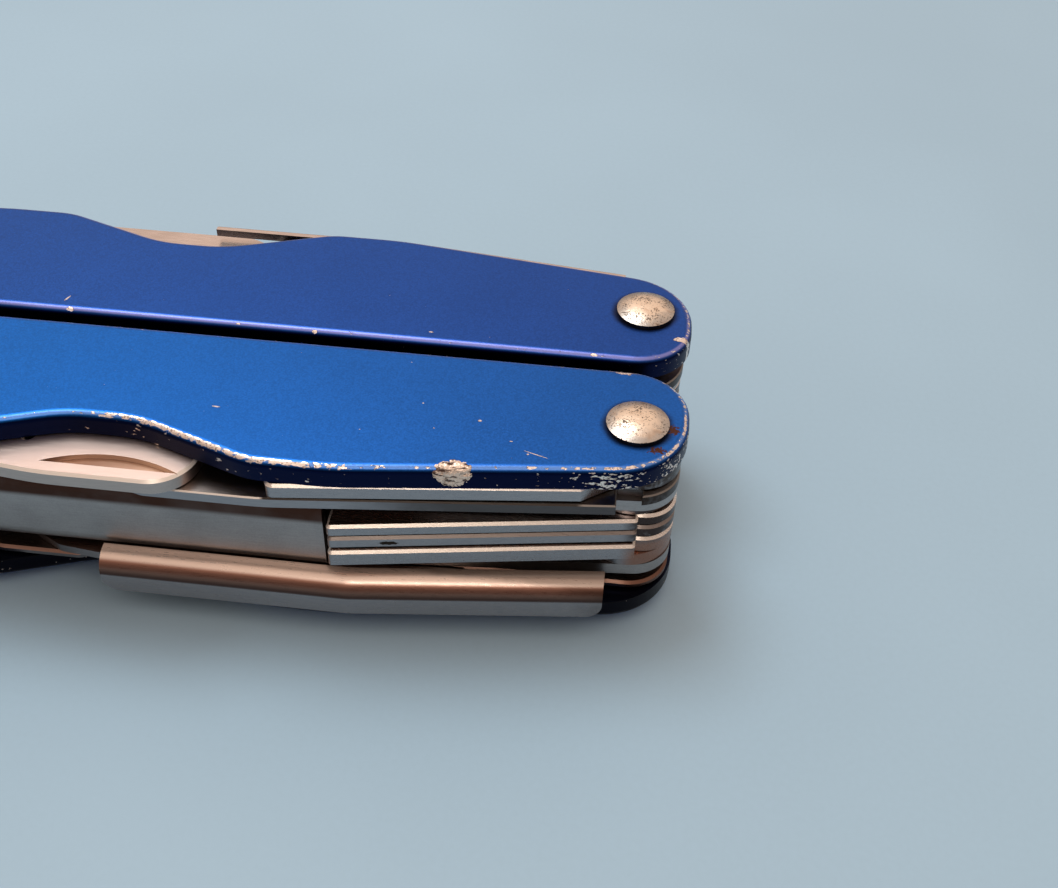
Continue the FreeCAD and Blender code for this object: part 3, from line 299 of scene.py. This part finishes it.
def bevelledEdge(finish, tone, edge, shadedSpan):
    # a bevel with a painted highlight, or a dark line of painted shade where edge is below 0, and black
    # painted shadow where the next tool lies over it
    look = steelLook
    bevel = finish.band(finish.level, *look["bevelLevel"])
    tone = finish.mix(bevel * abs(edge), tone, look["edge"] if edge > 0 else look["crease"])
    if shadedSpan:
        tone = finish.mix(bevel * finish.band(finish.x, *shadedSpan), tone, look["crease"])
    return tone, 1 - bevel * 0.5


def nailNick(finish, tone, wall, cloud, nick):
    # the brown floor of a nail nick, paler to the right, and a painted highlight on the rim of its far side
    paler = finish.ramp(finish.x + (cloud - 0.5) * 3, *nick["palerX"])
    floor = finish.band(finish.z, *nick["floorZ"]) * finish.ramp(finish.level, *nick["flatLevel"])
    tone = finish.mix(floor * 0.92, tone, finish.mix(paler, nick["dark"], nick["light"]))
    inside = (1 - finish.ramp(abs(finish.y), *nick["farY"])) * (1 - finish.ramp(finish.x, *nick["endX"]))
    return finish.mix(wall * inside * finish.ramp(finish.z, *nick["rimZ"]), tone, steelLook["edge"])


def steel(name, tint, roughness, soil=0.3, lines=0.6, edge=0.85, cut=steelLook["cut"], rolled=False,
          shadedSpan=None, nick=None, pits=(), recess=None):
    # ground steel: fine lines, clouding and brown tarnish, upright walls darkened as painted shade, bevels
    # with a painted highlight, a recess darkened with grime and painted shade
    look = steelLook
    finish = Finish(name)
    ground = finish.noise(look["hatch"], 3, stretch=(14, 1, 1))
    cloud = finish.noise(look["cloud"], 4, shift=3)
    freckle = finish.noise(look["freckle"], 3, shift=8)
    shaded = finish.ramp(ground * lines + cloud * 0.5, 0.40, 0.80)
    tone = finish.mix(shaded, dimmed(tint, look["shade"]), tint)
    tarnish = finish.ramp(cloud + freckle * 0.35, 0.84, 1.0) * soil
    tone = finish.mix(tarnish, tone, look["tarnish"])
    # upright walls darkened as painted shade
    wall = 1 - finish.ramp(finish.level, *look["wallLevel"])
    tone = finish.mix(wall * (0.65 + ground * 0.5), tone, cut)

    knuckles = finish.ramp(finish.x, *look["knuckleX"])  # the round ends, browned low down and darkened high up on their walls as painted shade
    low = 1 - finish.ramp(finish.z, *look["knuckleZ"])
    shadedHigh = (1 - low) * wall * finish.ramp(cloud + freckle * 0.4, 0.42, 0.74)
    tone = finish.mix(knuckles * low * (0.45 + cloud * 0.8), tone, look["stain"])
    tone = finish.mix(knuckles * shadedHigh, tone, look["knuckleShade"])

    tone, shine = rolledEdge(finish, tone, ground) if rolled else bevelledEdge(finish, tone, edge, shadedSpan)
    if nick:
        tone = nailNick(finish, tone, wall, cloud, nick)
    for x, z, height, length in pits:
        pit = finish.blot(x, z, height, length, ragged=0.7, grain=0.3, upright=True)
        tone = finish.mix(pit, tone, look["crease"])
    # recesses darkened towards the middle with grime and painted shade
    if recess:
        depth = 1 - finish.ramp(abs(finish.y) + (cloud - 0.5) * 0.6, *recess["span"])
        tone = finish.mix(depth * recess["grimeAndShade"], tone, look["crease"])
    finish.set(colour=tone, metallic=shine, roughness=roughness + (ground - 0.5) * 0.18 + tarnish * 0.3)
    finish.relief(ground * 0.6 + freckle * 0.3, look["bump"])
    return finish.material


frameLook = {
    "tint": colour(0.44, 0.41, 0.40), "shade": 0.74, "bend": colour(0.070, 0.030, 0.020),
    "inside": colour(0.022, 0.014, 0.010), "grain": 0.11, "hatch": 0.10, "cloud": 3.5, "bump": 0.008,
    "roughness": 0.40, "topBendZ": (9.25, 9.85), "footBendZ": (4.9, 5.2), "bendY": (11.0, 11.3),
    "skin": 0.95, "soft": 0.1,  # skin is just under the wall's thickness, so what lies deeper is the inside
}


def blasted(name):
    # bead-blasted frame: dull fine grain, brown along its bends, black painted shade inside
    look = frameLook
    low, high = corners("back_channel")
    floor, roof, innerFace = low.z + look["skin"], high.z - look["skin"], high.y - look["skin"]
    finish = Finish(name)
    grain = finish.noise(look["grain"], 3)
    hatch = finish.noise(look["hatch"], 2, stretch=(20, 1, 1), shift=6)
    cloud = finish.noise(look["cloud"], 3, shift=4)
    shaded = finish.ramp(grain * 0.4 + cloud * 0.4 + hatch * 0.3, 0.35, 0.75)
    tone = finish.mix(shaded, dimmed(look["tint"], look["shade"]), look["tint"])
    bend = finish.ramp(finish.z, *look["topBendZ"]) | 1 - finish.ramp(finish.z, *look["footBendZ"])
    bend = bend * finish.ramp(abs(finish.y), *look["bendY"])
    tone = finish.mix(bend * (0.75 + cloud * 0.4), tone, look["bend"])
    # the channel's inside is darkened near to black as painted shade
    within = finish.band(finish.z, floor, floor + look["soft"], roof - look["soft"], roof)
    within = within * (1 - finish.ramp(abs(finish.y), innerFace, innerFace + look["soft"]))
    tone = finish.mix(within * 0.93, tone, look["inside"])
    finish.set(colour=tone, roughness=look["roughness"] + (grain - 0.5) * 0.2)
    finish.relief(grain * 0.7 + hatch * 0.4, look["bump"])
    return finish.material


rivetLook = {
    # the first two colours paint a reflection: warm in the middle of the crown, greyer at its rim
    "crownHighlight": colour(0.95, 0.78, 0.62), "rim": colour(0.46, 0.42, 0.38), "patina": colour(0.52, 0.34, 0.22),
    # the second colour on the next line is painted shade for the upright skirt
    "speck": colour(0.10, 0.075, 0.06), "skirt": colour(0.05, 0.035, 0.03), "crownRadius": (0.9, 2.2),
    "mottle": 0.5, "patinaSize": 0.8, "speckSize": 0.13, "speckGroup": 1.0, "dimple": 0.2,
    "skirtLevel": (0.3, 0.7), "roughness": 0.31, "bump": 0.02,
}


def domed(name):
    # nickel-plated rivet: mottled crown with a warm painted highlight, a greyer rim as painted reflection, an
    # upright skirt darkened as painted shade
    look = rivetLook
    finish = Finish(name)
    mottle = finish.noise(look["mottle"], 5)
    # a warm painted highlight in the middle, greyer painted reflection outwards
    crownHighlight = 1 - finish.ramp(finish.fromRivet() + (mottle - 0.5) * 1.4, *look["crownRadius"])
    tone = finish.mix(crownHighlight, look["rim"], look["crownHighlight"])
    patina = finish.ramp(finish.noise(look["patinaSize"], 4, shift=9), 0.50, 0.68)
    tone = finish.mix(patina * 0.45, tone, look["patina"])
    gathered = finish.noise(look["speckGroup"], 2, shift=9) * 0.5
    specks = finish.ramp(finish.noise(look["speckSize"], 3, shift=6) + gathered, 0.80, 0.91)
    tone = finish.mix(specks * 0.85, tone, look["speck"])
    # the upright skirt darkened as painted shade
    skirt = 1 - finish.ramp(finish.level, *look["skirtLevel"])
    tone = finish.mix(skirt * 0.9, tone, look["skirt"])
    finish.set(colour=tone, roughness=look["roughness"] + specks * 0.3 + (mottle - 0.5) * 0.3)
    finish.relief(mottle * 0.6 + finish.noise(look["dimple"], 3, shift=1) * 0.4, look["bump"])
    return finish.material


toolTint = colour(0.74, 0.62, 0.56)
openerNick = {
    "dark": colour(0.24, 0.12, 0.075), "light": colour(0.58, 0.37, 0.26), "palerX": (-2.0, 6.0),
    "floorZ": (13.8, 13.9, 14.2, 14.35), "rimZ": (13.9, 13.95), "flatLevel": (0.90, 0.99),
    "farY": (14.05, 14.10), "endX": (6.1, 6.3),
}
steels = {
    "washer": {"name": "washer_steel", "tint": colour(0.62, 0.58, 0.55), "roughness": 0.30},
    "spring_steel": {"name": "spring_steel", "tint": colour(0.66, 0.57, 0.53), "roughness": 0.34,
                     "lines": 0.3, "shadedSpan": (11.8, 12.2, 33.8, 34.4),
                     "recess": {"span": (12.9, 13.9), "grimeAndShade": 0.75}},
    "jaw_steel": {"name": "jaw_steel", "tint": colour(0.50, 0.47, 0.44), "roughness": 0.34, "soil": 0.6},
    "tool_steel": {"name": "tool_steel", "tint": toolTint, "roughness": 0.26},
    "opener": {"name": "opener_steel", "tint": colour(0.94, 0.75, 0.67), "roughness": 0.34, "soil": 0.12,
               "lines": 0.3, "edge": 1.0, "cut": colour(0.48, 0.40, 0.36), "nick": openerNick},
    "ground": {"name": "ground_steel", "tint": toolTint, "roughness": 0.30, "edge": -0.6,
               "pits": [(20.6, 8.65, 0.20, 0.75)]},
    "scissors": {"name": "scissor_steel", "tint": colour(0.84, 0.66, 0.57), "roughness": 0.30, "lines": 0.2,
                 "rolled": True, "recess": {"span": (12.5, 13.1), "grimeAndShade": 0.50}},
}
materials = {
    "frontTop": anodised("front_scale_blue", frontMarks),
    "backTop": anodised("back_scale_blue", backMarks),
    "under": anodised("under_scale_blue", underMarks),
    "rivet": domed("nickel_rivet"),
    "channel_steel": blasted("blasted_frame"),
}
for key, look in steels.items():
    materials[key] = steel(**look)
ownFinish = {"front_top_scale": "frontTop", "back_top_scale": "backTop",
             "front_bottom_scale": "under", "back_bottom_scale": "under",
             "scissor_base": "scissors", "scissor_lever": "scissors", "scissor_spring": "scissors",
             "bottle_opener": "opener", "phillips_driver": "ground", "lanyard_loop": "ground"}
for name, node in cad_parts.items():
    key = ownFinish.get(name, node.material_slots[0].material.name.split(".")[0])
    for slot in node.material_slots:
        slot.material = materials[key]
print("finishes:", len(materials))

gougeLook = {
    "x": 25.3, "edge": 13.04, "slope": -0.1276, "radius": 0.6,  # its middle, and the rim's line and rounding
    "length": 2.7, "inwards": 0.38, "down": 1.0, "height": 0.10, "sink": 0.06,
    "fullness": 1.15, "ragged": 0.55, "brow": 0.5, "skirt": 0.4, "lowest": 0.35, "dive": 2.5,
    "rows": 90, "columns": 70, "seed": 7,
    "creases": [(0.9, 0.42), (0.5, 0.28), (0.27, 0.18), (0.15, 0.12)], "wander": 2.3,
    "foil": colour(0.95, 0.76, 0.62), "fold": colour(0.10, 0.055, 0.04), "metallic": 0.6, "roughness": 0.38,
    "streak": 0.30, "bump": 0.05,
}


def crumple(across, along):
    # folded-foil relief from 0 to 1: the sum of creased waves |sin| of falling size, sharp where they cross
    # zero, each in a direction of its own and bent by a slower sine
    look = gougeLook
    chance = np.random.default_rng(look["seed"])
    total = np.zeros_like(across)
    for size, weight in look["creases"]:
        turn, phase, bend = chance.uniform(0, math.pi), chance.uniform(0, 6), chance.uniform(0.5, 1.5)
        ahead = along * math.cos(turn) + across * math.sin(turn)
        aside = across * math.cos(turn) - along * math.sin(turn)
        wave = math.pi * ahead / size + phase + bend * np.sin(look["wander"] * aside / size)
        total += weight * np.abs(np.sin(wave))
    return total


def gougeMesh():
    # a lens of torn metal on the rim: the rim's own profile, a flat, a quarter round and an upright, carried
    # along the edge. Where cover is above 0, in an ellipse that the crumple makes ragged, it is raised, and
    # outside it dives into the metal. A second skin, sunk deeper, closes it.
    look = gougeLook
    rows, columns, radius = look["rows"], look["columns"], look["radius"]
    top = corners("front_top_scale")[1].z
    quarter = math.pi / 2 * radius
    run = np.linspace(-look["length"] / 2, look["length"] / 2, rows)
    reach = np.linspace(-look["inwards"], quarter + look["down"], columns)
    along, across = np.meshgrid(run, reach, indexing="ij")
    turn = np.clip(across / radius, 0, math.pi / 2)
    flat, upright = np.minimum(across, 0), np.maximum(across - quarter, 0)
    relief = crumple(across, along)
    middle, halfReach = (reach[0] + reach[-1]) / 2, (reach[-1] - reach[0]) / 2
    oval = (along / (look["length"] / 2)) ** 2 + ((across - middle) / halfReach) ** 2
    cover = look["fullness"] - oval - look["ragged"] * (1 - relief)
    cover = np.clip(cover, -look["skirt"], look["brow"]) / look["brow"]
    raised, sunk = look["height"] * cover * (look["lowest"] + relief), look["sink"] * cover * look["dive"]
    rise = np.where(cover > 0, raised, sunk)
    skins = []
    for lift in (rise, np.minimum(rise, 0) - look["sink"]):
        out = look["edge"] - radius + flat + (radius + lift) * np.sin(turn)
        z = top - radius + (radius + lift) * np.cos(turn) - upright
        skins.append(np.stack([look["x"] + along, -(out + along * look["slope"]), z], axis=-1).reshape(-1, 3))
    grid = np.arange(rows * columns).reshape(rows, columns)
    quads = np.stack([grid[:-1, :-1], grid[:-1, 1:], grid[1:, 1:], grid[1:, :-1]], axis=-1).reshape(-1, 4)
    rim = np.concatenate([grid[0, :-1], grid[:-1, -1], grid[-1, :0:-1], grid[:0:-1, 0]])
    after, under = np.roll(rim, -1), rows * columns
    walls = np.stack([rim, rim + under, after + under, after], axis=-1)
    faces = np.concatenate([quads, quads[:, ::-1] + under, walls])
    mesh = bpy.data.meshes.new("rim_gouge")
    mesh.from_pydata((np.concatenate(skins) * mm).tolist(), [], faces.tolist())
    return mesh


def tornMetal(name):
    # bright foil with brown streaks in its folds
    look = gougeLook
    finish = Finish(name, metallic=look["metallic"], roughness=look["roughness"])
    streak = finish.noise(look["streak"], 4, stretch=(2.4, 1, 0.9), shift=3)
    finish.set(colour=finish.mix(finish.ramp(streak, 0.38, 0.50), look["fold"], look["foil"]))
    finish.relief(streak, look["bump"])
    return finish.material


def makeGouge():
    gouge = bpy.data.objects.new("rim_gouge", gougeMesh())
    bpy.context.scene.collection.objects.link(gouge)
    gouge.data.materials.append(tornMetal("torn_aluminium"))
    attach(gouge, "front_handle")


makeGouge()
print("gouge made")

floorLook = {"half": 1.5, "pale": colour(0.40, 0.59, 0.74), "shade": 0.93, "cloud": 60.0, "speck": 0.5,
             "roughness": 0.6}
lampLooks = {  # gleamOnly lamps show only in glossy surfaces, along the rounded edges
    "overheadLamp": {"place": (-0.12, 0.13, 0.45), "size": 0.22, "watts": 0.88, "tint": (0.92, 0.97, 1.0),
                     "gleamOnly": False},
    "edgeLamp": {"place": (0.02, -0.30, 0.36), "size": 0.10, "watts": 0.16, "tint": (1.0, 0.90, 0.80),
                 "gleamOnly": True},
}
roomLook = {"lit": colour(1.0, 0.80, 0.68), "dim": colour(0.22, 0.175, 0.16), "towards": (0.0, 0.30, 0.95),
            "fade": (0.05, 0.75), "strength": 0.88}
cameraLook = {"azimuth": 4.69, "elevation": 42.3, "roll": 2.19, "place": (0.03565, -0.07626, 0.07694),
              "focal": 1300.0, "imageWidth": 1058.0, "sensor": 36.0, "clip": (0.005, 10.0)}


def makeFloor():
    look = floorLook
    half = look["half"]
    mesh = bpy.data.meshes.new("floor")
    rim = [(-half, -half, 0), (half, -half, 0), (half, half, 0), (-half, half, 0)]
    mesh.from_pydata(rim, [], [(0, 1, 2, 3)])
    floor = bpy.data.objects.new("floor", mesh)
    bpy.context.scene.collection.objects.link(floor)
    finish = Finish("pale_board", metallic=0.0, roughness=look["roughness"])
    shaded = finish.ramp(finish.noise(look["cloud"]) * 0.8 + finish.noise(look["speck"]) * 0.2, 0.3, 0.7)
    finish.set(colour=finish.mix(shaded, dimmed(look["pale"], look["shade"]), look["pale"]))
    mesh.materials.append(finish.material)


def makeLamps():
    for name, look in lampLooks.items():
        lamp = bpy.data.lights.new(name, "AREA")
        lamp.size, lamp.energy, lamp.color = look["size"], look["watts"], look["tint"]
        holder = bpy.data.objects.new(name, lamp)
        holder.location = look["place"]
        holder.rotation_euler = (-Vector(look["place"])).to_track_quat("-Z", "Y").to_euler()
        holder.visible_diffuse = not look["gleamOnly"]
        bpy.context.scene.collection.objects.link(holder)


def makeRoom():
    # soft warm light from above and a little behind, dimmer towards the front and the horizon
    look = roomLook
    world = bpy.data.worlds.new("room")
    world.use_nodes = True
    tree = world.node_tree
    way, facing, ramp, tone = (tree.nodes.new("ShaderNode" + kind)
                               for kind in ("TexCoord", "VectorMath", "MapRange", "Mix"))
    facing.operation = "DOT_PRODUCT"
    facing.inputs[1].default_value = look["towards"]
    ramp.interpolation_type = "SMOOTHSTEP"
    ramp.inputs["From Min"].default_value, ramp.inputs["From Max"].default_value = look["fade"]
    tone.data_type = "RGBA"
    tone.inputs[6].default_value, tone.inputs[7].default_value = look["dim"], look["lit"]
    backdrop = tree.nodes["Background"]
    backdrop.inputs["Strength"].default_value = look["strength"]
    tree.links.new(way.outputs["Generated"], facing.inputs[0])
    tree.links.new(facing.outputs["Value"], ramp.inputs["Value"])
    tree.links.new(ramp.outputs[0], tone.inputs[0])
    tree.links.new(tone.outputs[2], backdrop.inputs["Color"])
    bpy.context.scene.world = world


def makeCamera():
    look = cameraLook
    azimuth, elevation, roll = (math.radians(look[key]) for key in ("azimuth", "elevation", "roll"))
    back = Vector((math.sin(azimuth) * math.cos(elevation), -math.cos(azimuth) * math.cos(elevation),
                   math.sin(elevation)))
    level = (-back).cross(Vector((0, 0, 1))).normalized()
    upright = level.cross(-back)
    right = level * math.cos(roll) + upright * math.sin(roll)
    up = upright * math.cos(roll) - level * math.sin(roll)
    camera = bpy.data.cameras.new("camera")
    camera.sensor_width = look["sensor"]
    camera.lens = look["focal"] / look["imageWidth"] * look["sensor"]
    camera.clip_start, camera.clip_end = look["clip"]
    holder = bpy.data.objects.new("camera", camera)
    turned = Matrix((right, up, back)).transposed().to_4x4()
    holder.matrix_world = Matrix.Translation(look["place"]) @ turned
    bpy.context.scene.collection.objects.link(holder)
    bpy.context.scene.camera = holder


makeFloor()
makeLamps()
makeRoom()
makeCamera()
bpy.context.scene.view_settings.view_transform = "Standard"
print("stage ready")
